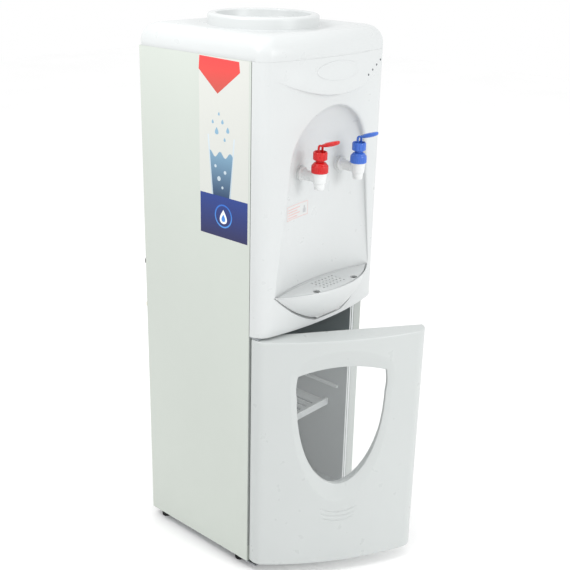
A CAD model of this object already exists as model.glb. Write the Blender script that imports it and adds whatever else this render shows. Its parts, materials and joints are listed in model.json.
"""Looks of the floor-standing water dispenser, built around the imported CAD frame.

Shapes are worked out in cabinet millimetres: X to the right, Y back from the steel side panels'
front edge, Z up from the floor. at() turns them into the row frame's metres.
"""

import json
import math

import bmesh
import bpy
from mathutils import Matrix, Vector


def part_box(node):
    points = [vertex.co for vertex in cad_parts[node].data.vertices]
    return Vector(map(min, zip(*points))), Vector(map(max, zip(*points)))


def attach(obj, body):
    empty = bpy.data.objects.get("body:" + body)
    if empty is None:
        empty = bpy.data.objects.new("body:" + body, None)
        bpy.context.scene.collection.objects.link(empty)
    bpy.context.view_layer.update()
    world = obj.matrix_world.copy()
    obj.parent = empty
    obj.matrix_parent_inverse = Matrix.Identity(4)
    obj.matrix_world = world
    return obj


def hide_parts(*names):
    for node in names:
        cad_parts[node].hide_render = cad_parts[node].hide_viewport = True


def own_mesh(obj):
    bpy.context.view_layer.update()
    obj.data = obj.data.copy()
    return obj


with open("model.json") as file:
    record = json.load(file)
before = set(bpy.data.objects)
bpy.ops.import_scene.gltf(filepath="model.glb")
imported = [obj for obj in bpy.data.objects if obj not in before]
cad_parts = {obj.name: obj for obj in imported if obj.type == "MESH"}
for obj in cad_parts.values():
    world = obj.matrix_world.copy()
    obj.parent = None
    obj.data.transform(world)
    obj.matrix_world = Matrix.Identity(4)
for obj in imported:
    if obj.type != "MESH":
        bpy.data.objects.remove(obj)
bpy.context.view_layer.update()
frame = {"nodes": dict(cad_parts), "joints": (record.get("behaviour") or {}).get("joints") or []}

MM = 0.001

# ---------- sizes read from the frame, in cabinet millimetres ----------

FRONT_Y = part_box("side_panel_left")[0].y


def at(x, y, z):
    """A point in cabinet millimetres as a point of the row frame."""
    return Vector((x * MM, FRONT_Y + y * MM, z * MM))


def cad_box(node):
    """Lowest and highest corners of a CAD node in cabinet millimetres."""
    lo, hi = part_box(node)
    return [Vector((p.x / MM, (p.y - FRONT_Y) / MM, p.z / MM)) for p in (lo, hi)]


side_lo, side_hi = cad_box("side_panel_left")
fascia_lo = cad_box("front_fascia")[0]
collar_lo, collar_hi = cad_box("bottle_collar")
tray_lo, tray_hi = cad_box("drip_tray")
tap_lo, tap_hi = cad_box("cold_bonnet")
pin_lo, pin_hi = cad_box("cold_pivot_pin")
hinge_lo, hinge_hi = cad_box("hinge_pins")
liner_lo, liner_hi = cad_box("cupboard_liner")
LINER_INNER = liner_hi.x - 2.5

HALF_W = -side_lo.x
SEAM_Z = side_hi.z
COVER_Z = cad_box("top_cover")[1].z
BACK_Y = cad_box("back_panel")[1].y
FASCIA_Z = cad_box("front_apron")[0].z

# Bowed front: one shallow arc with a fillet at each upright corner.
BOW = 20
CORNER_R = 25
BOW_R = (HALF_W ** 2 + BOW ** 2) / (2 * BOW)
BOW_CY = BOW_R + fascia_lo.y
FILLET_X = HALF_W - CORNER_R
FILLET_Y = BOW_CY - math.sqrt((BOW_R - CORNER_R) ** 2 - FILLET_X ** 2)
TANGENT_X = FILLET_X * BOW_R / (BOW_R - CORNER_R)

# Tap recess: an arch over sides that spread towards the tray. RECESS_Y is its wall's deepest point.
ARCH_HALF = 98
ARCH_SPRING_Z = 741
ARCH_RISE = 105
RECESS_HALF = 128
RECESS_Y = -12
TRAY_Z = tray_hi.z
RECESS_FOOT_Z = TRAY_Z - 4

# Taps: middle of the cold tap and heights of its pieces. FLANGE_GAP is from the wall to the flange.
TAP_X = (tap_lo.x + tap_hi.x) / 2
TAP_Y = (tap_lo.y + tap_hi.y) / 2
SPOUT_Z = cad_box("cold_tap_body")[0].z
BONNET_Z = tap_lo.z
HOUSING_Z = cad_box("cold_housing")[0].z
PIVOT_Z = (pin_lo.z + pin_hi.z) / 2
gasket_lo, gasket_hi = cad_box("cold_tap_gasket")
STEM_Z = (gasket_lo.z + gasket_hi.z) / 2
FLANGE_GAP = 4.4

# Collar.
COLLAR_R = (collar_hi.x - collar_lo.x) / 2
COLLAR_Y = (collar_hi.y + collar_lo.y) / 2
COLLAR_Z = collar_hi.z

# Door: hinge axis and the angle at which it stands open.
HINGE_X = (hinge_lo.x + hinge_hi.x) / 2
HINGE_Y = (hinge_lo.y + hinge_hi.y) / 2
DOOR_JOINT = next(j for j in frame["joints"] if j["child"] == "door")
DOOR_ANGLE = max(DOOR_JOINT["range_deg"])
DOOR_Z = 22
DOOR_TOP_Z = cad_box("door_shell")[1].z
DOOR_BACK_Y = -1.2
HINGE_BARREL_R = 8.8


def front_y(x):
    """Depth of the bowed front at x."""
    x = abs(x)
    if x <= TANGENT_X:
        return BOW_CY - math.sqrt(BOW_R ** 2 - x ** 2)
    return FILLET_Y - math.sqrt(max(CORNER_R ** 2 - (x - FILLET_X) ** 2, 0))


# Where the bow meets the corner fillet, in degrees round the fillet's centre.
BOW_END = math.degrees(math.atan2(front_y(TANGENT_X) - FILLET_Y, TANGENT_X - FILLET_X))

RECESS_SAG = RECESS_Y - front_y(RECESS_HALF)
RECESS_R = (RECESS_HALF ** 2 + RECESS_SAG ** 2) / (2 * RECESS_SAG)


def wall_y(x):
    """Depth of the concave wall behind the taps at x."""
    return RECESS_Y - RECESS_R + math.sqrt(RECESS_R ** 2 - x ** 2)


def smooth(t):
    """Eases from 0 to 1."""
    t = min(max(t, 0), 1)
    return t * t * (3 - 2 * t)


def mix(a, b, t):
    return a + (b - a) * t


def spread(a, b, count, first=0):
    """Evenly spaced values from a to b in count steps, from step first on."""
    return [mix(a, b, i / count) for i in range(first, count + 1)]


def quarter(count, first=1):
    """(1 - cosine, sine) of evenly spaced angles up to a right angle, to round an edge with."""
    return [(1 - math.cos(a), math.sin(a)) for a in spread(0, math.pi / 2, count, first)]


def disc(cx, cy, rx, ry, count=28):
    """Points round a circle or an ellipse."""
    angles = [math.tau * i / count for i in range(count)]
    return [(cx + rx * math.cos(a), cy + ry * math.sin(a)) for a in angles]


def arc(cx, cy, r, start, end, count):
    """Points of an arc between two angles in degrees."""
    angles = [math.radians(a) for a in spread(start, end, count)]
    return [(cx + r * math.cos(a), cy + r * math.sin(a)) for a in angles]


# ---------- camera ----------

# Three-quarter view from the front left, a little from above.
YAW, PITCH, ROLL = (math.radians(a) for a in (48.735, 20.826, 1.338))
CAMERA_PLACE = at(-1227.4, -1019.2, 1127.2)
FOCAL_LENGTH = 60.73

forward = Vector((math.sin(YAW) * math.cos(PITCH), math.cos(YAW) * math.cos(PITCH), -math.sin(PITCH)))
level = Vector((math.cos(YAW), -math.sin(YAW), 0))
upward = level.cross(forward)
cam_right = level * math.cos(ROLL) + upward * math.sin(ROLL)
cam_up = upward * math.cos(ROLL) - level * math.sin(ROLL)
cam_data = bpy.data.cameras.new("camera")
cam_data.sensor_width = 36
cam_data.lens = FOCAL_LENGTH
cam_data.clip_end = 20
camera = bpy.data.objects.new("camera", cam_data)
bpy.context.scene.collection.objects.link(camera)
columns = Matrix((cam_right, cam_up, -forward)).transposed()
camera.matrix_world = Matrix.Translation(CAMERA_PLACE) @ columns.to_4x4()
bpy.context.scene.camera = camera
bpy.context.scene.view_settings.view_transform = "Standard"


# ---------- materials ----------

# The noise texture's values lie mostly within this range.
NOISE_REACH = (0.3, 0.7)


class Nodes:
    """Short names for building a procedural material around one Principled shader."""

    def __init__(self, name, metallic=0.0, specular=0.5):
        self.material = bpy.data.materials.new(name)
        self.material.use_nodes = True
        self.tree = self.material.node_tree
        self.shader = self.tree.nodes["Principled BSDF"]
        self.shader.inputs["Metallic"].default_value = metallic
        self.shader.inputs["Specular IOR Level"].default_value = specular
        self.coords = self.tree.nodes.new("ShaderNodeTexCoord")

    def link(self, a, b):
        self.tree.links.new(a, b)

    def noise(self, scale, detail=3.0, stretch=(1, 1, 1)):
        mapping = self.tree.nodes.new("ShaderNodeMapping")
        mapping.inputs["Scale"].default_value = stretch
        self.link(self.coords.outputs["Object"], mapping.inputs["Vector"])
        node = self.tree.nodes.new("ShaderNodeTexNoise")
        node.inputs["Scale"].default_value = scale
        node.inputs["Detail"].default_value = detail
        self.link(mapping.outputs["Vector"], node.inputs["Vector"])
        return node.outputs["Fac"]

    def colour(self, factor, low, high, reach=NOISE_REACH):
        """Base colour that goes from low to high over the factor's reach."""
        node = self.tree.nodes.new("ShaderNodeValToRGB")
        for element, position, colour in zip(node.color_ramp.elements, reach, (low, high)):
            element.position = position
            element.color = (*colour, 1)
        self.link(factor, node.inputs["Fac"])
        self.link(node.outputs["Color"], self.shader.inputs["Base Color"])

    def span(self, factor, low, high, reach=NOISE_REACH):
        node = self.tree.nodes.new("ShaderNodeMapRange")
        for socket, value in zip(("From Min", "From Max", "To Min", "To Max"), (*reach, low, high)):
            node.inputs[socket].default_value = value
        self.link(factor, node.inputs["Value"])
        return node.outputs["Result"]

    def roughness(self, factor, low, high):
        self.link(self.span(factor, low, high), self.shader.inputs["Roughness"])

    def bump(self, height, strength, distance):
        node = self.tree.nodes.new("ShaderNodeBump")
        node.inputs["Strength"].default_value = strength
        node.inputs["Distance"].default_value = distance
        self.link(height, node.inputs["Height"])
        self.link(node.outputs["Normal"], self.shader.inputs["Normal"])


def linear(r, g, b):
    """An sRGB colour of 0 to 255 as linear values."""
    def one(c):
        c /= 255
        return c / 12.92 if c <= 0.04045 else ((c + 0.055) / 1.055) ** 2.4
    return tuple(one(c) for c in (r, g, b))


def shade(rgb, factor):
    """A colour of 0 to 255 made lighter or darker, as linear values."""
    return tuple(min(c * factor, 1) for c in linear(*rgb))


def moulded(name, rgb, rough=0.32, vary=0.015):
    """Moulded plastic: faint flow mottling, fine surface grain and uneven gloss."""
    n = Nodes(name)
    n.colour(n.noise(7, 4), shade(rgb, 1 - vary), shade(rgb, 1 + vary / 2))
    n.roughness(n.noise(45, 3), rough - 0.05, rough + 0.07)
    n.bump(n.noise(320, 2), 0.02, 0.0004)
    return n.material


def painted_steel(name, rgb, rough=0.38):
    """Baked paint on sheet steel: orange-peel ripple and a slow drift of tone."""
    n = Nodes(name)
    n.colour(n.noise(3.2, 5, (1, 1, 0.5)), shade(rgb, 0.965), shade(rgb, 1.02))
    n.roughness(n.noise(60, 2), rough - 0.05, rough + 0.06)
    n.bump(n.noise(300, 2), 0.04, 0.0004)
    return n.material


def bare_metal(name, rgb, rough=0.3, stretch=(1, 1, 14), scale=60):
    """Bare metal with rolling or turning marks along one direction."""
    n = Nodes(name, metallic=1.0)
    marks = n.noise(scale, 5, stretch)
    n.colour(marks, shade(rgb, 0.82), shade(rgb, 1.08), reach=(0.25, 0.75))
    n.roughness(marks, rough - 0.08, rough + 0.14)
    n.bump(marks, 0.12, 0.0003)
    return n.material


def rubber(name, rgb, rough=0.75):
    """Rubber or silicone: patchy tone over a fine matt grain."""
    n = Nodes(name, specular=0.3)
    n.colour(n.noise(30, 4), shade(rgb, 0.8), shade(rgb, 1.3))
    n.roughness(n.noise(80, 2), rough - 0.08, rough + 0.08)
    n.bump(n.noise(500, 3), 0.25, 0.0005)
    return n.material


def foam(name, rgb):
    """Open foam whose cells are both darker and deeper than its walls."""
    n = Nodes(name, specular=0.2)
    cells = n.noise(380, 4)
    n.colour(cells, shade(rgb, 0.72), shade(rgb, 1.1))
    n.roughness(cells, 0.8, 0.95)
    n.bump(cells, 0.6, 0.002)
    return n.material


def clear(name, rgb):
    """Clear sheet that lets light straight through, with a faint smear in its gloss."""
    n = Nodes(name)
    n.shader.inputs["Alpha"].default_value = 0.1
    n.shader.inputs["IOR"].default_value = 1.49
    n.colour(n.noise(20, 3), shade(rgb, 0.97), shade(rgb, 1))
    n.roughness(n.noise(25, 3), 0.04, 0.1)
    return n.material


def lens(name, rgb):
    """Tinted glossy lens with a speckled filling."""
    n = Nodes(name)
    n.colour(n.noise(900, 2), shade(rgb, 0.8), shade(rgb, 1.2))
    n.roughness(n.noise(300, 2), 0.1, 0.2)
    return n.material


def printed(name, low_rgb, high_rgb, z_low, z_high):
    """Printed film whose tint changes between two heights, with a fine screen of tone."""
    n = Nodes(name)
    split = n.tree.nodes.new("ShaderNodeSeparateXYZ")
    n.link(n.coords.outputs["Object"], split.inputs["Vector"])
    height = n.span(split.outputs["Z"], 0, 1, reach=(z_low * MM, z_high * MM))
    n.colour(height, linear(*low_rgb), linear(*high_rgb), reach=(0, 1))
    n.roughness(n.noise(200, 2), 0.3, 0.43)
    n.bump(n.noise(700, 2), 0.04, 0.0003)
    return n.material


white_plastic = moulded("fascia_white", (200, 203, 203))
door_plastic = moulded("door_white", (188, 192, 191))
inner_plastic = moulded("inner_white", (204, 208, 208), rough=0.42)
tap_white = moulded("tap_white", (214, 216, 216), rough=0.28)
liner_grey = moulded("liner_grey", (145, 152, 154), rough=0.5)
tank_plastic = moulded("tank_plastic", (214, 222, 226), rough=0.45)
hot_red = moulded("hot_red", (196, 20, 22), rough=0.2, vary=0.06)
cold_blue = moulded("cold_blue", (58, 104, 196), rough=0.2, vary=0.06)
ivory = moulded("ivory", (214, 208, 188), rough=0.45)
black_plastic = moulded("black_plastic", (30, 31, 33), rough=0.45, vary=0.1)
switch_red = moulded("switch_red", (188, 24, 22), rough=0.25)
panel_paint = painted_steel("panel_paint", (193, 199, 192))
post_steel = painted_steel("post_steel", (168, 173, 170), rough=0.45)
galvanised = bare_metal("galvanised", (176, 180, 184), rough=0.45, stretch=(1, 1, 1), scale=40)
stainless = bare_metal("stainless", (190, 190, 188), rough=0.28)
plated = bare_metal("plated", (150, 152, 156), rough=0.3, stretch=(1, 1, 1), scale=220)
black_rubber = rubber("black_rubber", (22, 22, 23))
gasket_rubber = rubber("gasket_rubber", (60, 62, 64))
silicone = rubber("silicone", (222, 224, 222), rough=0.5)
pipe_silicone = rubber("pipe_silicone", (196, 206, 214), rough=0.45)
sleeve_foam = foam("sleeve_foam", (196, 186, 150))
pane_clear = clear("pane_clear", (246, 250, 250))
lens_grey = lens("lens_grey", (70, 76, 82))


# Material and slot of the white outer mouldings.
WHITE = (white_plastic, "fascia_white_plastic")


# ---------- mesh building ----------

def raised(profile, z):
    """(radius, height) points lifted by z."""
    return [(r, h + z) for r, h in profile]


def swing(x, y):
    """Turns a point of the closed door, in plan, to where the door stands open."""
    a = -math.radians(DOOR_ANGLE)
    dx, dy = x - HINGE_X, y - HINGE_Y
    return (HINGE_X + dx * math.cos(a) - dy * math.sin(a),
            HINGE_Y + dx * math.sin(a) + dy * math.cos(a))


class Form:
    """Collects quads and faces in cabinet millimetres and turns them into one piece."""

    def __init__(self, swung=False):
        self.bm = bmesh.new()
        self.swung = swung
        self.index = 0

    def vert(self, p):
        x, y, z = p
        if self.swung:
            x, y = swing(x, y)
        return self.bm.verts.new(at(x, y, z))

    def face(self, points):
        made = self.bm.faces.new([self.vert(p) for p in points])
        made.material_index = self.index
        return made

    def grid(self, rows, closed=False, ends=False):
        """Quads between rows of equal length. closed joins each row's ends, ends caps the outer rows."""
        made = [[self.vert(p) for p in row] for row in rows]
        count = len(made[0])
        for a, b in zip(made, made[1:]):
            for i in range(count if closed else count - 1):
                j = (i + 1) % count
                if len({a[i], a[j], b[j], b[i]}) == 4:
                    self.bm.faces.new((a[i], a[j], b[j], b[i])).material_index = self.index
        if ends:
            self.bm.faces.new(list(reversed(made[0]))).material_index = self.index
            self.bm.faces.new(made[-1]).material_index = self.index

    def lathe(self, profile, centre=(0, 0), sides=48, radius=None, axis="z"):
        """Turns (radius, height) points about an upright axis, or about one along Y.

        radius, if given, changes each radius by height and angle."""
        rows = []
        for r, h in profile:
            row = []
            for i in range(sides):
                a = math.tau * i / sides
                q = radius(r, h, a) if radius else r
                u, v = centre[0] + q * math.cos(a), centre[1] + q * math.sin(a)
                row.append((u, v, h) if axis == "z" else (u, h, v))
            rows.append(row)
        self.grid(rows, closed=True)

    def sweep(self, path, half_wide, half_tall, power=2.6, sides=16):
        """A rod of rounded-rectangle section along a path in an upright plane along Y.

        half_tall gives half the section's height at a share of the path."""
        path = [Vector(p) for p in path]
        last = len(path) - 1
        rows = []
        for i, p in enumerate(path):
            along = (path[min(i + 1, last)] - path[max(i - 1, 0)]).normalized()
            up = Vector((1, 0, 0)).cross(along).normalized()
            across = along.cross(up).normalized()
            row = []
            for c, s in disc(0, 0, 1, 1, sides):
                u = math.copysign(abs(c) ** (2 / power), c) * half_wide
                v = math.copysign(abs(s) ** (2 / power), s) * half_tall(i / last)
                row.append(p + across * u + up * v)
            rows.append(row)
        self.grid(rows, closed=True, ends=True)

    def finish(self, name, materials, slot, replaces=(), body="cabinet", angle=38, weld=0.01):
        """Welds the faces into one piece that rides on its body and may replace CAD nodes."""
        bmesh.ops.remove_doubles(self.bm, verts=self.bm.verts, dist=weld * MM)
        bmesh.ops.dissolve_degenerate(self.bm, dist=weld * MM, edges=self.bm.edges)
        loose = [v for v in self.bm.verts if not v.link_faces]
        bmesh.ops.delete(self.bm, geom=loose, context="VERTS")
        bmesh.ops.recalc_face_normals(self.bm, faces=self.bm.faces)
        mesh = bpy.data.meshes.new(name)
        self.bm.to_mesh(mesh)
        self.bm.free()
        for polygon in mesh.polygons:
            polygon.use_smooth = True
        mesh.set_sharp_from_angle(angle=math.radians(angle))
        for material in materials if isinstance(materials, (list, tuple)) else [materials]:
            mesh.materials.append(material)
        piece = bpy.data.objects.new(name, mesh)
        bpy.context.scene.collection.objects.link(piece)
        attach(piece, body)
        if replaces:
            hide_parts(*replaces)
        return piece


# ---------- moulded front ----------

# Brow over the recess: how far it stands out, its lowest height, its upward curve and half width.
BROW_OUT = 9
BROW_Z = 866
BROW_CURVE = 30 / 130 ** 2
BROW_HALF = 133
BROW_FILLET = 7


def brow_z(x):
    """Height of the brow's lower lip."""
    return BROW_Z + BROW_CURVE * x * x


def brow_out(x):
    """How far the brow's lip stands out at x."""
    return BROW_OUT * max(1 - (x / BROW_HALF) ** 2, 0) ** 1.3


def skin_y(x, z):
    """Depth of the finished front skin: the bowed front with the brow standing out above its lip."""
    rise = (z - brow_z(x)) / (SEAM_Z - brow_z(x))
    return front_y(x) - (brow_out(x) * (1 - smooth(rise)) if rise >= 0 else 0)


# The tray narrows towards its foot as a parabola and leans back into the front moulding.
TRAY_H = tray_hi.z - tray_lo.z
TRAY_HALF = RECESS_HALF - 2
TRAY_FOOT = 0.07
TRAY_BACK_LOW, TRAY_BACK_HIGH = -23, -14


def tray_section(share):
    """Half width, tip, front and back of the tray at a share of its height."""
    half = TRAY_HALF * math.sqrt((share + TRAY_FOOT) / (1 + TRAY_FOOT))
    out = mix(1.2, front_y(0) - tray_lo.y, math.sin(math.radians(90 * share)) ** 0.72)
    return half, front_y(half) - 0.4, front_y(0) - out, mix(TRAY_BACK_LOW, TRAY_BACK_HIGH, share)


def bulge_y(x, half, y0, sag):
    """Depth at x of a shallow arc over the chord from -half to half."""
    r = (half * half + sag * sag) / (2 * abs(sag))
    flat = math.sqrt(max(r * r - x * x, 0))
    return y0 + sag - math.copysign(r - flat, sag)


POCKET_GAP = 1.5
POCKET_TOP_Z = RECESS_FOOT_Z + 3


def pocket_y(x, z):
    """Depth of the tray pocket's back wall, or None where the pocket has ended."""
    share = (z + POCKET_GAP - tray_lo.z) / TRAY_H
    if share < 0:
        return None
    half, tip, _, back = tray_section(min(share, 1))
    half += POCKET_GAP
    back += POCKET_GAP
    if abs(x) >= half:
        return None
    y = bulge_y(x, half, tip + 2, back - tip - 2)
    return y if y > front_y(x) + 0.05 else None


def pocket_floor(x):
    """Lowest height at which the tray pocket opens at x."""
    low, high = tray_lo.z - POCKET_GAP, POCKET_TOP_Z
    if pocket_y(x, high) is None:
        return high
    if pocket_y(x, low + 0.01) is not None:
        return low
    for _ in range(30):
        middle = (low + high) / 2
        if pocket_y(x, middle) is None:
            low = middle
        else:
            high = middle
    return high


def recess_outline():
    """Points of the recess's outline from left to right with outward normals: (x, z, nx, nz)."""
    flare, drop = RECESS_HALF - ARCH_HALF, ARCH_SPRING_Z - RECESS_FOOT_Z
    foot = math.hypot(flare, drop)
    right = []
    for a in (math.radians(d) for d in spread(90, 0, 26)):
        nx, nz = math.cos(a) / ARCH_HALF, math.sin(a) / ARCH_RISE
        size = math.hypot(nx, nz)
        right.append((ARCH_HALF * math.cos(a), ARCH_SPRING_Z + ARCH_RISE * math.sin(a), nx / size, nz / size))
    for t in spread(0, 1, 18, first=1):
        right.append((ARCH_HALF + flare * t, ARCH_SPRING_Z - drop * t, drop / foot, flare / foot))
    left = [(-x, z, -nx, nz) for x, z, nx, nz in reversed(right[1:])]
    return left + right


def fascia_column(px, pz, nx, nz):
    """One upright run of points through the recess, from the fascia's lower edge to its seam."""
    depth = max(wall_y(px) - front_y(px), 0)
    floor = min(pocket_floor(px), POCKET_TOP_Z)
    deep = pocket_y(px, floor + 0.02) or front_y(px)
    # bowed front below the tray, then the pocket's floor and back wall
    rows = [(px, skin_y(px, z), z) for z in spread(FASCIA_Z + 2, floor, 5)]
    rows += [(px, mix(front_y(px), deep, t), floor) for t in (0.06, 0.5, 0.94)]
    rows += [(px, pocket_y(px, z + 0.02) or deep, z) for z in spread(floor, POCKET_TOP_Z, 8)]
    # recess wall up to where the dome or side starts to curve forward
    share = min(depth / 20, 1)
    dome = min(mix(26, 56, nz ** 2) * share, 0.45 * (pz - POCKET_TOP_Z))
    lip = min(mix(8.0, 4.0, nz ** 2), depth * 0.45)
    ix = math.copysign(min(abs(px - nx * dome), abs(px)), px)
    iz = max(pz - nz * dome, POCKET_TOP_Z)
    for t in spread(0, 1, 18, first=1):
        x = mix(px, ix, t)
        rows.append((x, wall_y(x), mix(POCKET_TOP_Z, iz, t)))
    # dome, then the lip that turns back onto the front
    edge = max(depth - lip, 0)
    edge_z = max(pz, POCKET_TOP_Z)
    for fall, rise in quarter(12):
        x = mix(ix, px, rise)
        rows.append((x, wall_y(x) - edge * fall, mix(iz, edge_z, rise)))
    last_y = rows[-1][1]
    for fall, rise in quarter(6):
        x, z = px + nx * lip * fall, edge_z + nz * lip * fall
        rows.append((x, mix(last_y, skin_y(x, z), rise), z))
    # front up to the brow's hollow underside, its lip and the brow itself
    x, _, z = rows[-1]
    out = brow_out(x)
    under = brow_z(x) - BROW_FILLET
    rows += [(x, front_y(x), height) for height in spread(z, under, 8, first=1)]
    for fall, rise in quarter(8):
        rows.append((x, front_y(x) - out * 0.86 * fall, under + BROW_FILLET * 0.94 * rise))
    for dz, t in ((0.05, 0.95), (0.3, 0.985), (1.1, 1.0)):
        rows.append((x, front_y(x) - out * t, brow_z(x) + dz))
    top = rows[-1][2]
    rows += [(x, skin_y(x, max(z, brow_z(x))), z) for z in spread(top, SEAM_Z, 14, first=1)]
    return rows


def build_fascia():
    """The whole moulded front, its tray pocket and the two pads that the taps stand on."""
    form = Form()
    runs = [fascia_column(*p) for p in recess_outline()]
    heights = [p[2] for p in runs[0]]
    # the rest of the front, whose runs keep the heights of the recess's last run
    stations = [(x, front_y(x)) for x in (RECESS_HALF + 3, TANGENT_X)]
    stations += arc(FILLET_X, FILLET_Y, CORNER_R, BOW_END, 0, 10)[1:]
    stations += [(HALF_W, -1.6), (HALF_W - 0.5, -1.0), (HALF_W - 4, -1.0)]
    for x, y in stations:
        runs.append([(x, y, z) for z in heights])
        runs.insert(0, [(-x, y, z) for z in heights])
    # rounded lower edge and underside
    for run in runs:
        x, y, z = run[0]
        run[0:0] = [(x * 0.98, -3, FASCIA_Z), (x * 0.995, y + 2.2, FASCIA_Z), (x, y + 0.7, FASCIA_Z + 0.5)]
    form.grid([list(row) for row in zip(*runs)])
    pad_r, pad_y = 13, wall_y(TAP_X) - 2.2
    profile = [(6.2, pad_y), (pad_r - 1.2, pad_y), (pad_r - 0.4, pad_y + 0.3), (pad_r, pad_y + 1.2),
               (pad_r + 0.6, pad_y + 3.4)]
    for side in (-1, 1):
        form.lathe(profile, (side * TAP_X, STEM_Z), axis="y")
    replaced = ["front_fascia", "front_apron", "recess_wall", "tray_pocket"]
    form.finish("front_moulding", *WHITE, replaced, angle=50)


build_fascia()


def cover_loop():
    """Plan outline of the cover, anticlockwise from the back left corner."""
    back_r = 7
    back_x, back_y = HALF_W - back_r, BACK_Y - back_r
    points = arc(-back_x, back_y, back_r, 90, 180, 4)
    points += [(-HALF_W, y) for y in spread(back_y, FILLET_Y, 12)[1:-1]]
    points += arc(-FILLET_X, FILLET_Y, CORNER_R, 180, 180 - BOW_END, 9)
    points += [(x, front_y(x)) for x in spread(-TANGENT_X, TANGENT_X, 26)[1:-1]]
    points += arc(FILLET_X, FILLET_Y, CORNER_R, BOW_END, 0, 9)
    points += [(HALF_W, y) for y in spread(FILLET_Y, back_y, 12)[1:-1]]
    points += arc(back_x, back_y, back_r, 0, 90, 4)
    points += [(x, BACK_Y) for x in spread(back_x, -back_x, 14)[1:-1]]
    return points


def build_cover():
    """Domed cover whose top dips towards a flute round the collar."""
    form = Form()
    loop = cover_loop()
    middle = (BACK_Y + fascia_lo.y) / 2
    deep = (BACK_Y - fascia_lo.y) / 2
    shoulder, inset = 31, 25
    top = COVER_Z - 1.5

    def ring(offset, z):
        return [(x * (1 - offset / HALF_W), middle + (y - middle) * (1 - offset / deep), z)
                for x, y in loop]

    rows = [ring(4, SEAM_Z + 1.5), ring(0.15, SEAM_Z + 0.02), ring(0, SEAM_Z + 0.15)]
    rows += [ring(inset * fall, top - shoulder + shoulder * rise) for fall, rise in quarter(10, first=0)]
    last = rows[-1]
    foot_r, dip = COLLAR_R + 9, 4.4
    # share of the way from the shoulder to a circle, the circle's radius, and the drop below the top
    for t, r, drop in ((0.25, foot_r, 0.4), (0.5, foot_r, 1.6), (0.75, foot_r, 3.2), (1, foot_r, dip),
                       (1, foot_r - 5, dip), (1, foot_r - 7.5, 3.6), (1, foot_r - 11, 1)):
        row = []
        for x, y, _ in last:
            a = math.atan2(y - COLLAR_Y, x)
            row.append((mix(x, r * math.cos(a), t), mix(y, COLLAR_Y + r * math.sin(a), t), top - drop))
        rows.append(row)
    form.grid(rows, closed=True)
    form.finish("cover_moulding", *WHITE, ["top_cover"], angle=50)


build_cover()


def build_collar():
    """Collar with a rounded rim, the bottle's seat, and the funnel down to its neck."""
    form = Form()
    seat_r, neck_r, wall = 80, 30, 3
    outer_r, inner_r = 5, 3
    well_z = COLLAR_Z - 14
    neck_top = collar_lo.z + 30
    profile = [(COLLAR_R - 6.5, COVER_Z - 8), (COLLAR_R, COVER_Z - 6.5), (COLLAR_R - 0.3, COLLAR_Z - 5)]
    profile += arc(COLLAR_R - 5.3, COLLAR_Z - outer_r, outer_r, 0, 90, 5)[1:]
    profile += arc(seat_r + inner_r, COLLAR_Z - inner_r, inner_r, 90, 180, 5)
    profile += [(seat_r, well_z + 2), (seat_r - 0.6, well_z + 0.4), (seat_r - 2, well_z)]
    for t in spread(0, 1, 8, first=1):
        profile.append((mix(seat_r - 2, neck_r, t), mix(well_z, neck_top, t ** 1.12)))
    profile += [(neck_r, collar_lo.z), (neck_r + wall, collar_lo.z), (neck_r + wall, neck_top),
                (COLLAR_R - 9, COVER_Z - 9), (COLLAR_R - 6.5, COVER_Z - 8)]
    form.lathe(profile, (0, COLLAR_Y), 96)
    form.finish("collar_moulding", *WHITE, ["bottle_collar"], angle=50)


build_collar()


def build_badge():
    """A blank oval plate that follows the brow, with a raised rim."""
    form = Form()
    half_x, half_z, centre_z = 52, 15, SEAM_Z - 22
    rows = []
    for share, lift in ((0, 0.5), (0.5, 0.5), (0.86, 0.5), (0.91, 0.8), (0.97, 0.85), (1, 0.5), (1, -0.6)):
        oval = disc(0, centre_z, half_x * share, half_z * share, 72)
        rows.append([(x, skin_y(x, z) - lift, z) for x, z in oval])
    form.grid(rows, closed=True)
    form.finish("badge_oval", *WHITE, ["badge_plate"], angle=60)


build_badge()


def build_lenses():
    """Four small domed indicator lenses in a rising row on the brow."""
    form = Form()
    lo, hi = cad_box("indicator_lenses")
    lens_r = 2
    for t in spread(0, 1, 3):
        x, z = mix(lo.x + lens_r, hi.x - lens_r, t), mix(lo.z + lens_r, hi.z - lens_r, t)
        y = skin_y(x, z)
        form.lathe([(0.01, y - 1.0), (0.9, y - 0.9), (1.6, y - 0.55), (1.9, y - 0.1), (1.9, y + 1.2)],
                   (x, z), 20, axis="y")
    form.finish("lens_row", lens_grey, "indicator_lens", ["indicator_lenses"])


build_lenses()


# ---------- door ----------

# Shield-shaped window: half width, lowest and shoulder heights, the crown over its top edge, and
# the height of its widest part. RAY_Z is the centre that the door's rings spread from.
WINDOW_HALF = 80
WINDOW_BOTTOM_Z = 182
WINDOW_SHOULDER_Z = 402
WINDOW_CROWN = 12
WINDOW_CENTRE_Z = 360
RAY_Z = 300
# Half width of the part of the door that the rings cover, and the radius of the door's edges.
PATCH_HALF = 127
EDGE_R = 2.6


def window_points(side, top, bottom):
    """The window's shield outline, grown at its sides, top and bottom."""
    h = WINDOW_HALF + side
    drop = WINDOW_CENTRE_Z - WINDOW_BOTTOM_Z + bottom
    points = [(h * math.cos(a), WINDOW_CENTRE_Z + drop * math.sin(a))
              for a in spread(math.pi, math.tau, 80)]
    span, base = h - 1, WINDOW_SHOULDER_Z + top / 2
    points += [(x, bulge_y(x, span, base, WINDOW_CROWN + top / 2)) for x in spread(span, -span, 40)]
    return points


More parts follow.
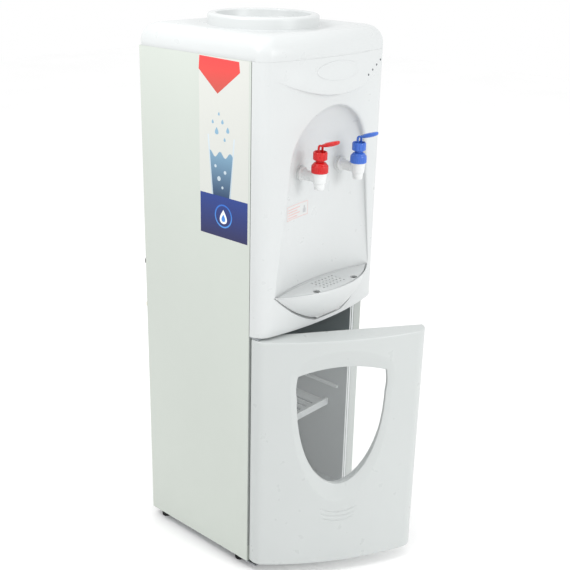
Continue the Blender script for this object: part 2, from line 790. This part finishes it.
def ray_reach(points):
    """A function giving how far an outline reaches from the ray centre at an angle."""
    polar = sorted((math.atan2(z - RAY_Z, x), math.hypot(x, z - RAY_Z)) for x, z in points)
    polar = [(polar[-1][0] - math.tau, polar[-1][1])] + polar + [(polar[0][0] + math.tau, polar[0][1])]

    def reach(angle):
        for (a0, r0), (a1, r1) in zip(polar, polar[1:]):
            if a0 <= angle <= a1:
                return mix(r0, r1, (angle - a0) / (a1 - a0)) if a1 > a0 else r0
        return polar[0][1]
    return reach


def groove(x, z):
    """Depth of the three smile-shaped grooves below the window."""
    total = 0
    for i in range(3):
        centre = WINDOW_BOTTOM_Z - 54 - 9 * i
        half = 34 - 3 * i
        if abs(x) < half + 2:
            line = centre + (x / 60) ** 2 * 28
            ends = smooth((half + 2 - abs(x)) / 5)
            total += 1.3 * ends * max(0, 1 - ((z - line) / 1.9) ** 2)
    return total


def inwards(points, distance):
    """An open outline moved inwards, the way a rounded edge narrows it."""
    moved = []
    for i, (x, y) in enumerate(points):
        x0, y0 = points[max(i - 1, 0)]
        x1, y1 = points[min(i + 1, len(points) - 1)]
        size = math.hypot(x1 - x0, y1 - y0) or 1
        moved.append((x - (y1 - y0) / size * distance, y + (x1 - x0) / size * distance))
    return moved


def build_door():
    """Bowed door skin: window with its bevel, grooves, hinge barrel and rounded top and bottom edges."""
    form = Form(swung=True)
    low, high = DOOR_Z + EDGE_R, DOOR_TOP_Z - EDGE_R
    inner = ray_reach(window_points(0, 0, 0))
    outer = ray_reach(window_points(11, 34, 32))
    across = spread(-PATCH_HALF, PATCH_HALF, 64)
    heights = spread(low, high, 90)
    border = [(x, low) for x in across] + [(PATCH_HALF, z) for z in heights[1:]]
    border += [(x, high) for x in reversed(across[:-1])]
    border += [(-PATCH_HALF, z) for z in reversed(heights[1:-1])]
    angles = [math.atan2(z - RAY_Z, x) for x, z in border]
    rays = [(math.cos(a), math.sin(a), inner(a), outer(a)) for a in angles]
    tunnel_y, rim_y = -29.5, -36.4
    lip, soft = 0.35, 0.06

    # window tunnel, then its rounded lip
    rows = []
    for y in (tunnel_y, rim_y + 1):
        rows.append([(near * c, y, RAY_Z + near * s) for c, s, near, _ in rays])
    for u in (1.0, 0.97, 0.9, 0.75, 0.55, 0.35, 0.2, 0.1, 0.05, 0.02, 0.0):
        ease = (math.hypot(u, soft) - soft) / (math.hypot(1, soft) - soft)
        row = []
        for c, s, near, far in rays:
            r = mix(far, near, u)
            row.append((r * c, mix(front_y(r * c), rim_y, ease) + (lip if u == 1.0 else 0), RAY_Z + r * s))
        rows.append(row)
    # bowed skin from the bevel out to the patch's border
    for t in spread(0, 1, 96, first=1):
        row = []
        for (c, s, _, far), (border_x, border_z) in zip(rays, border):
            x, z = mix(far * c, border_x, t), mix(RAY_Z + far * s, border_z, t)
            row.append((x, front_y(x) + groove(x, z), z))
        rows.append(row)
    form.grid(rows, closed=True)

    # plan outline round the rest of the door, on either side of the patch
    right = [(x, front_y(x)) for x in (PATCH_HALF, TANGENT_X - 4)]
    right += arc(FILLET_X, FILLET_Y, CORNER_R, BOW_END, 0, 10)
    right += [(HALF_W, -3.2), (HALF_W - 0.6, -1.6), (HALF_W - 2, DOOR_BACK_Y)]
    barrel_turn = math.degrees(math.asin((HINGE_Y - FILLET_Y) / CORNER_R))
    left = arc(HINGE_X, HINGE_Y, HINGE_BARREL_R, 90, 180, 8)
    left += arc(-FILLET_X, FILLET_Y, CORNER_R, 180 - barrel_turn + 2, 180 - BOW_END, 10)
    left += [(-x, front_y(x)) for x in (TANGENT_X - 4, PATCH_HALF)]
    for run in (right, left):
        form.grid([[(x, y, z) for x, y in run] for z in heights])

    # rounded top and bottom edges, and the flat ends behind them
    front = left + [(x, front_y(x)) for x in across[1:-1]] + right
    for z_edge, turn in ((high, 1), (low, -1)):
        edge_rows = []
        for fall, rise in quarter(5, first=0):
            z = z_edge + turn * EDGE_R * rise
            edge_rows.append([(x, y, z) for x, y in inwards(front, EDGE_R * fall)])
        last = edge_rows[-1]
        for t in (0.5, 1):
            edge_rows.append([(x, mix(y, max(y, DOOR_BACK_Y), t), z) for x, y, z in last])
        form.grid(edge_rows)
    form.finish("door_skin", door_plastic, "door_plastic", ["door_shell"], body="door", angle=45)


build_door()


# ---------- drip tray ----------

def lens_loop(half, tip, front, back):
    """Plan outline of the tray: a front arc and a back arc that meet in pointed tips."""
    across = [half * math.cos(a) for a in spread(math.pi, 0, 40)]
    points = [(x, bulge_y(x, half, tip, front - tip)) for x in across]
    points += [(x, bulge_y(x, half, tip + 2, back - tip - 2)) for x in reversed(across)]
    return points


def build_tray():
    """Bowl with a rounded rim, a ledge for the grille and a wall of even thickness."""
    form = Form()
    bottom, top, wall, floor = tray_lo.z, tray_hi.z, 5.2, 3

    def ring(share, shrink, z):
        half, tip, front, back = tray_section(share)
        return [(x, y, z) for x, y in lens_loop(half - shrink, tip, front + shrink, back - shrink)]

    def drawn_in(row):
        """A row drawn in almost to a point, to close a floor."""
        return [(x * 0.02, mix(y, -34, 0.98), z) for x, y, z in row]

    rows = [drawn_in(ring(0, 6, bottom))]
    rows += [ring(0, shrink, bottom + lift) for shrink, lift in ((8, 0), (3, 0.3), (1, 1.2), (0.2, 2.6))]
    for t in spread(0, 1, 14, first=1):
        rows.append(ring(0.97 * t, 0, mix(bottom + 2.6, top - 1.2, t)))
    for shrink, drop in ((0.1, 0.8), (0.5, 0.2), (1.2, 0), (1.9, 0), (2.3, 0.4), (2.5, 3.6), (wall, 3.8)):
        rows.append(ring(1, shrink, top - drop))
    for share in spread(1, 0, 10):
        rows.append(ring(share, wall, mix(bottom + floor, top - 4.4, share)))
    rows.append(drawn_in(ring(0, 12, bottom + floor)))
    form.grid(rows, closed=True)
    form.finish("tray_bowl_moulding", *WHITE, ["drip_tray"], body="drip_tray", angle=50)


build_tray()


# ---------- taps ----------

def build_tap_body(cx, cy, prefix):
    """Barrel with its spout, the horizontal stem with its flange, and a gusset under the stem."""
    form = Form()
    profile = [(6, 19), (6, 0.6), (6.5, 0), (7.6, 0), (8.1, 0.6), (9.2, 8), (9.4, 10.2), (10.4, 11),
               (10.7, 12), (11.9, 27.6), (12.6, 28), (12.6, 29.4), (12.1, 29.8), (12.1, 30.8)]
    form.lathe(raised(profile, SPOUT_Z), (cx, cy), 64)
    stem_end = cad_box(prefix + "_tap_body")[1].y
    rear = wall_y(TAP_X) - FLANGE_GAP
    flange = [(7.7, -7), (8, -5.4), (8.6, -3.9), (10.6, -3.1), (11.6, -2.4), (12, -1.6), (12, -0.5),
              (11.6, 0), (6, 0)]
    form.lathe(raised([(8, 4), (8, 14), (7.7, 15)], cy) + raised(flange, rear)
               + raised([(6, -0.5), (3.5, 0)], stem_end), (cx, STEM_Z), axis="y")
    form.sweep([(cx, cy + 9, STEM_Z - 6), (cx, cy + 16, STEM_Z - 7), (cx, rear - 4, STEM_Z - 7.6)],
               1.3, lambda t: 4 - 2 * t, sides=12)
    form.finish(prefix + "_tap_moulding", tap_white, "tap_white_plastic", [prefix + "_tap_body"], angle=40)


def build_bonnet(cx, cy, prefix, plastic):
    """Cap with a ribbed grip."""
    form = Form()
    ribs, rib_depth = 24, 0.75

    def ribbed(r, h, a):
        return r - rib_depth * max(0, math.cos(ribs * a)) ** 2 if 2.3 < h - BONNET_Z < 9.9 else r

    profile = [(12.2, 2.9), (12.2, 0.2), (13.2, 0), (14, 0.8), (14, 2.2), (14, 2.6), (14, 6.4), (14, 9.6),
               (14, 10), (13.9, 11.6), (13.3, 12.6), (12.4, 13.4), (11.9, 13.6), (11.7, 14.4), (10.6, 16),
               (9.2, 17.2), (7.2, 17.9), (5, 18), (2.3, 18), (2.1, 17.4), (2.1, 3)]
    form.lathe(raised(profile, BONNET_Z), (cx, cy), 144, radius=ribbed)
    form.finish(prefix + "_bonnet_cap", *plastic, [prefix + "_bonnet"], angle=40)


def build_housing(cx, cy, prefix, plastic):
    """A ring with upright grooves, open for the lever's fork."""
    form = Form()
    grooves, groove_depth = 10, 0.9

    def grooved(r, h, a):
        inside = 4.5 < h - HOUSING_Z < 14.8 and r > 11
        return r - groove_depth * max(0, math.cos(grooves * a)) ** 6 if inside else r

    profile = [(3, 0), (6.5, 0), (7.2, 0.5), (7.2, 2), (8.2, 2.8), (10.9, 3.4), (11.7, 4.2), (11.7, 5),
               (11.7, 9), (11.7, 14.4), (11.7, 15), (11.2, 16.4), (10.4, 17), (9.8, 16.8), (9.5, 16.2),
               (9.5, 4), (8.8, 2.6), (3, 2.2), (3, 0)]
    form.lathe(raised(profile, HOUSING_Z), (cx, cy), 120, radius=grooved)
    form.finish(prefix + "_housing_ring", *plastic, [prefix + "_housing"], angle=40)


def build_lever(cx, cy, prefix, plastic):
    """Two bent arms with an eye each, and a dished oval paddle."""
    form = Form()
    pad_z = PIVOT_Z + 19.6
    arm_half, bend_r = 4.8, 4
    for s in (-1, 1):
        x = cx + s * arm_half
        path = [(x, cy, PIVOT_Z + 1), (x, cy - 0.1, PIVOT_Z + 6), (x, cy - 0.2, pad_z - 6)]
        bend = [math.radians(t) for t in (0, 22, 45, 67, 90)]
        path += [(x, cy - 4.2 + bend_r * math.cos(t), pad_z - 5 + bend_r * math.sin(t)) for t in bend]
        path += [(x - s * 0.4, cy - 8, pad_z - 0.8), (x - s * 1.2, cy - 12.5, pad_z - 0.4)]
        form.sweep(path, 1.35, lambda t: 2.1 - 0.5 * t, power=3.2)
        eye = ((1.6, -1.4), (2.9, -1.4), (3.2, -1.1), (3.2, 1.1), (2.9, 1.4), (1.6, 1.4), (1.6, -1.4))
        form.grid([[(x + side, y, z) for y, z in disc(cy, PIVOT_Z, r, r)] for r, side in eye], closed=True)
    long, wide, half_thick, centre_y, slope, dish = 14.6, 9.6, 4.6, -22.2, 0.3, 0.9
    rows = []
    for a in spread(0, math.pi, 24)[1:-1]:
        y = centre_y - long * math.cos(a)
        w = wide * math.sin(a) ** 0.85
        thick = half_thick * math.sin(a) ** 0.5
        rise = slope * (-y - 8)
        row = []
        for u, v in disc(0, 0, 1, 1):
            hollow = dish * (1 - u * u) * math.sin(a) ** 2 if v > 0 else 0
            row.append((cx + w * u, cy + y, pad_z + rise + thick * math.copysign(abs(v) ** 0.8, v) - hollow))
        rows.append(row)
    form.grid(rows, closed=True, ends=True)
    lever = prefix + "_lever"
    form.finish(lever + "_fork", *plastic, [lever], body=lever, angle=50)


def build_spring(cx, cy, prefix):
    """Coil spring between the valve plug and the bonnet, squashed as the valve lifts."""
    form = Form()
    lo, hi = cad_box(prefix + "_valve_spring")
    turns, wire, coil, travel = 6, 0.55, 6.0, 3.0
    path = []
    for t in spread(0, 1, turns * 20):
        z = mix(lo.z + wire, hi.z - wire, smooth(t) * 0.25 + t * 0.75)
        a = math.tau * turns * t
        path.append(Vector((cx + coil * math.cos(a), cy + coil * math.sin(a), z)))
    last = len(path) - 1
    rows = []
    for i, p in enumerate(path):
        along = (path[min(i + 1, last)] - path[max(i - 1, 0)]).normalized()
        out = Vector((p.x - cx, p.y - cy, 0)).normalized()
        up = along.cross(out).normalized()
        rows.append([p + out * u + up * v for u, v in disc(0, 0, wire, wire, 8)])
    form.grid(rows, closed=True, ends=True)
    coil_piece = form.finish(prefix + "_spring_coil", plated, "plated_steel",
                             [prefix + "_valve_spring"], angle=60)
    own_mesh(coil_piece)


def build_tap(side, prefix, plastic):
    """One tap, left for side -1 and right for 1. plastic is its coloured material with its slot."""
    cx, cy = side * TAP_X, TAP_Y
    build_tap_body(cx, cy, prefix)
    build_bonnet(cx, cy, prefix, plastic)
    build_housing(cx, cy, prefix, plastic)
    build_lever(cx, cy, prefix, plastic)
    build_spring(cx, cy, prefix)


build_tap(-1, "hot", (hot_red, "hot_red_plastic"))
build_tap(1, "cold", (cold_blue, "cold_blue_plastic"))


# ---------- back and inside details ----------

def build_screws():
    """Pan-head screws with a cross recess."""
    form = Form()
    head_r, crown, slot_depth = 4.0, 1.6, 0.9
    across = spread(-1, 1, 18)
    for side in (-1, 1):
        for z0 in (60, 250, 420, 600, 880):
            rows = []
            for u in across:
                row = []
                for v in across:
                    # the square grid drawn onto a disc
                    x, z = u * math.sqrt(1 - v * v / 2), v * math.sqrt(1 - u * u / 2)
                    height = crown * math.sqrt(max(1 - (x * x + z * z) * 0.97, 0)) ** 0.7
                    if min(abs(x), abs(z)) < 0.12 and max(abs(x), abs(z)) < 0.6:
                        height -= slot_depth
                    row.append((side * (HALF_W - 7) + x * head_r, BACK_Y + max(height, 0), z0 + z * head_r))
                rows.append(row)
            form.grid(rows)
    form.finish("screw_heads", plated, "plated_steel", ["panel_screws"], angle=35)


build_screws()


def build_rails():
    """Upper ledges on the cupboard's side walls for a second shelf height, with rounded long edges."""
    form = Form()
    edge_r = 1.2
    top = cad_box("shelf")[1].z + 36
    for side in (-1, 1):
        low_x, high_x = sorted((side * (LINER_INNER + 0.4), side * (LINER_INNER - 6)))
        loop = []
        for cx, cz, start in ((high_x - edge_r, top - edge_r, 0), (low_x + edge_r, top - edge_r, 90),
                              (low_x + edge_r, top - 5 + edge_r, 180),
                              (high_x - edge_r, top - 5 + edge_r, 270)):
            loop += arc(cx, cz, edge_r, start, start + 90, 4)
        form.grid([[(x, y, z) for x, z in loop] for y in (20, liner_hi.y - 12)], closed=True, ends=True)
    form.finish("liner_rails", inner_plastic, "liner_grey", angle=40)


build_rails()


def build_mouth_strips():
    """Pale lip round the cupboard's mouth, two dark seals beside it, and the bare post outside them."""
    form = Form()
    low, high = liner_lo.z + 12, liner_hi.z + 18
    # each strip's far edge from the liner's inside, how far it stands out, and its material
    post_edge = HALF_W - 1 - LINER_INNER
    x0 = LINER_INNER
    strips = ((3.6, 0.5, 0), (5.4, 0.2, 1), (10.4, 0.6, 0), (11.6, 0.2, 1), (post_edge, 0.15, 2))
    for far, out, form.index in strips:
        x1 = LINER_INNER + far
        edge = min(0.5, out * 0.8)
        section = [(x0, 0.5), (x0, -out + edge), (x0 + edge, -out), (x1 - edge, -out), (x1, -out + edge)]
        section.append((x1, 0.5))
        for side in (-1, 1):
            form.grid([[(side * x, y, z) for x, y in section] for z in (low, high)])
            for z in (low, high):
                form.face([(side * x, y, z) for x, y in section])
        x0 = x1
    form.finish("mouth_strips", [inner_plastic, gasket_rubber, post_steel], "liner_grey", angle=30)


build_mouth_strips()


# ---------- printed labels: plain generic shapes, no lettering ----------

LABEL_X = -HALF_W - 0.12


def side_patch(form, outline, lift, index):
    """A thin printed shape on the left side, from (y, z) points."""
    form.index = index
    front = [(LABEL_X - lift, y, z) for y, z in outline]
    back = [(-HALF_W - 0.02, y, z) for y, z in outline]
    form.face(front)
    form.grid([front, back], closed=True)


def rectangle(x0, x1, y0, y1):
    return [(x0, y0), (x1, y0), (x1, y1), (x0, y1)]


def drop_shape(cy, cz, size):
    """A water drop with its point up."""
    points = []
    for a in spread(0, math.tau, 32)[:-1]:
        width = math.sin(a) * math.sin(a / 2) ** 1.3
        points.append((cy + size * 0.95 * width, cz + size * math.cos(a)))
    return points


# Printed inks: name, colours at a low and a high height, and the two heights.
LABEL_INKS = [printed(*ink) for ink in (
    ("label_red", (186, 78, 66), (226, 62, 62), 867, 924),
    ("label_blue", (22, 26, 78), (18, 52, 128), 631, 701),
    ("label_sky", (70, 140, 214), (30, 96, 190), 650, 690),
    ("label_white", (236, 240, 240), (246, 248, 248), 630, 925),
    ("label_water", (24, 56, 92), (128, 166, 190), 700, 790),
    ("label_glass", (170, 186, 196), (206, 216, 222), 692, 838),
    ("label_back", (199, 202, 197), (202, 203, 198), 630, 925))]
NOTICE_INKS = [printed(*ink) for ink in (
    ("notice_white", (200, 202, 201), (204, 206, 205), 640, 700),
    ("notice_pink", (206, 170, 168), (210, 178, 176), 640, 700),
    ("notice_grey", (170, 172, 174), (180, 182, 183), 640, 700))]


def build_side_label():
    """Pale sheet with a pointed red pennant, a tumbler of water, and a drop in a ring on blue."""
    form = Form()
    red, blue, sky, white, water, glass, sheet = range(7)
    side_patch(form, rectangle(4, 115, 630, 924), 0, sheet)
    pennant = [(25.38, 921.43), (23.44, 904.94), (72.91, 867.11), (115.59, 902.03), (113.65, 923.37)]
    side_patch(form, pennant, 0.06, red)
    # tumbler: two walls, base, water with a wavy surface, drops above it and bubbles in it
    low, high, left, right, taper, wall = 694, 800, 34, 96, 10, 3
    for y, turn in ((left, 1), (right, -1)):
        side_patch(form, [(y, high), (y + turn * wall, high), (y + turn * (taper + wall), low),
                          (y + turn * taper, low)], 0.03, glass)
    foot_left, foot_right = left + taper, right - taper
    side_patch(form, [(foot_left, low + 5), (foot_left + 0.4, low), (foot_right - 0.4, low),
                      (foot_right, low + 5)], 0.04, glass)
    wave = [(mix(left + 4.6, right - 4.6, i / 16), 770 + 5 * math.sin(i * 0.9)) for i in range(17)]
    side_patch(form, [(foot_right - 2.6, low + 5.5), (foot_left + 2.6, low + 5.5)] + wave, 0.05, water)
    drops = ((50, 812, 5), (62, 824, 4), (75, 808, 6), (84, 822, 3.4), (57, 796, 3.4), (70, 836, 3))
    for y, z, size in drops:
        side_patch(form, drop_shape(y, z, size), 0.05, water)
    for y, z, size in ((56, 742, 3), (70, 730, 4), (62, 716, 2.4), (78, 750, 2.6)):
        side_patch(form, disc(y, z, size, size), 0.08, glass)
    # blue panel
    side_patch(form, rectangle(5, 114, 631, 701), 0.06, blue)
    for r, lift, index in ((20, 0.09, sky), (17.5, 0.11, blue)):
        side_patch(form, disc(60, 668, r, r), lift, index)
    side_patch(form, drop_shape(60, 667, 12), 0.13, white)
    side_patch(form, drop_shape(60, 665, 6.5), 0.15, sky)
    form.finish("side_label", LABEL_INKS, "cabinet_paint", angle=30, weld=0.001)


build_side_label()


def build_notice():
    """A plain label of bars on the recess wall beside the hot tap."""
    form = Form()
    x0, x1, z0, z1 = -90, -26, 661, 687
    backing, pink, grey = range(3)

    def patch(a0, a1, b0, b1, lift, index):
        """A thin closed shape between two x and two z that follows the wall."""
        form.index = index
        across = spread(a0, a1, 8)
        section = ((lift, b0), (lift, b1), (0.02, b1), (0.02, b0), (lift, b0))
        form.grid([[(x, wall_y(x) - out, z) for x in across] for out, z in section])

    patch(x0, x1, z0, z1, 0.15, backing)
    for z in (z0 + 1, z1 - 2):
        patch(x0 + 1, x1 - 1, z, z + 1, 0.22, pink)
    for x in (x0 + 1, x1 - 2):
        patch(x, x + 1, z0 + 1, z1 - 1, 0.22, pink)
    for i in range(4):
        z = z1 - 8 - i * 4.6
        patch(x0 + 5, x0 + 40 - (i % 2) * 7, z, z + 1.8, 0.22, pink)
    patch(x1 - 15, x1 - 7, z0 + 6, z0 + 13, 0.22, grey)
    patch(x1 - 13, x1 - 9, z0 + 13, z0 + 18, 0.22, grey)
    form.finish("recess_notice", NOTICE_INKS, "fascia_white_plastic", angle=30, weld=0.001)


build_notice()


# ---------- CAD nodes that stay, with their finishes ----------

FINISHES = {
    panel_paint: ["side_panel_left", "side_panel_right", "back_panel"],
    galvanised: ["base_plate", "component_deck", "hinge_bracket_top"],
    black_rubber: ["rubber_feet"],
    liner_grey: ["cupboard_liner"],
    inner_plastic: ["shelf", "door_inner_panel", "bottle_guard", "drain_outlets"],
    white_plastic: ["tray_grille"],
    tank_plastic: ["water_reservoir"],
    stainless: ["hot_tank"],
    sleeve_foam: ["tank_insulation"],
    plated: ["heater_band", "hinge_pins", "hinge_bracket_bottom", "magnet_catch", "strike_plate",
             "hot_pivot_pin", "cold_pivot_pin"],
    pipe_silicone: ["water_pipes"],
    black_plastic: ["thermostats", "switch_frame", "cord_gland", "drain_cap_upper"],
    ivory: ["terminal_block", "drain_cap_lower"],
    pane_clear: ["window_pane"],
    gasket_rubber: ["window_gasket"],
    switch_red: ["heater_rocker"],
    tap_white: ["hot_tap_nut", "cold_tap_nut", "hot_valve_stem", "cold_valve_stem"],
    silicone: ["hot_valve_plug", "cold_valve_plug", "hot_tap_gasket", "cold_tap_gasket"],
}
SOFTENED = {"side_panel_left": 0.25, "side_panel_right": 0.25, "back_panel": 0.25, "cupboard_liner": 0.8,
            "shelf": 0.7, "door_inner_panel": 0.8, "tray_grille": 0.4, "rubber_feet": 0.8,
            "bottle_guard": 0.4, "drain_cap_upper": 0.6, "drain_cap_lower": 0.6, "switch_frame": 0.4,
            "heater_rocker": 0.4, "cord_gland": 0.6, "hinge_bracket_bottom": 0.3, "window_pane": 0.1}

for material, names in FINISHES.items():
    for name in names:
        node = frame["nodes"][name]
        node.data.materials.clear()
        node.data.materials.append(material)
        for polygon in node.data.polygons:
            polygon.use_smooth = True
            polygon.material_index = 0
        node.data.set_sharp_from_angle(angle=math.radians(30))

for name, width in SOFTENED.items():
    bevel = frame["nodes"][name].modifiers.new("soft_edges", "BEVEL")
    bevel.width = width * MM
    bevel.segments = 2
    bevel.limit_method = "ANGLE"
    bevel.angle_limit = math.radians(40)
    bevel.harden_normals = True


# ---------- floor and light ----------

def build_floor():
    """Wide pale floor."""
    half = 6
    places = spread(-half, half, 24)
    mesh_form = bmesh.new()
    rows = [[mesh_form.verts.new((x, y, 0)) for y in places] for x in places]
    for a, b in zip(rows, rows[1:]):
        for j in range(len(places) - 1):
            mesh_form.faces.new((a[j], b[j], b[j + 1], a[j + 1]))
    mesh = bpy.data.meshes.new("floor")
    mesh_form.to_mesh(mesh)
    mesh_form.free()
    paint = Nodes("floor_paint", specular=0.1)
    paint.colour(paint.noise(2, 3), (0.98, 0.98, 0.98), (1.0, 1.0, 1.0))
    paint.shader.inputs["Roughness"].default_value = 0.9
    mesh.materials.append(paint.material)
    floor = bpy.data.objects.new("floor", mesh)
    bpy.context.scene.collection.objects.link(floor)
    return floor


floor = build_floor()

world = bpy.data.worlds.new("world")
bpy.context.scene.world = world
world.use_nodes = True
world.node_tree.nodes["Background"].inputs["Color"].default_value = (1, 1, 1, 1)
world.node_tree.nodes["Background"].inputs["Strength"].default_value = 1.0


def soft_light(name, position, target, size, power):
    """A round lamp of a size in metres and a power in watts, turned towards its target."""
    data = bpy.data.lights.new(name, "AREA")
    data.shape = "DISK"
    data.size = size
    data.energy = power
    light = bpy.data.objects.new(name, data)
    bpy.context.scene.collection.objects.link(light)
    light.location = position
    light.rotation_euler = (Vector(target) - Vector(position)).to_track_quat("-Z", "Y").to_euler()


soft_light("key", (0.3, -3.0, 1.6), (0, 0, 0.7), 1.3, 32)
soft_light("top", (0.1, 0.0, 3.0), (0, 0, 0.6), 1.6, 7)
soft_light("shoulder", (-0.75, 0.15, 1.45), (-0.15, 0.12, 0.92), 0.4, 4.3)
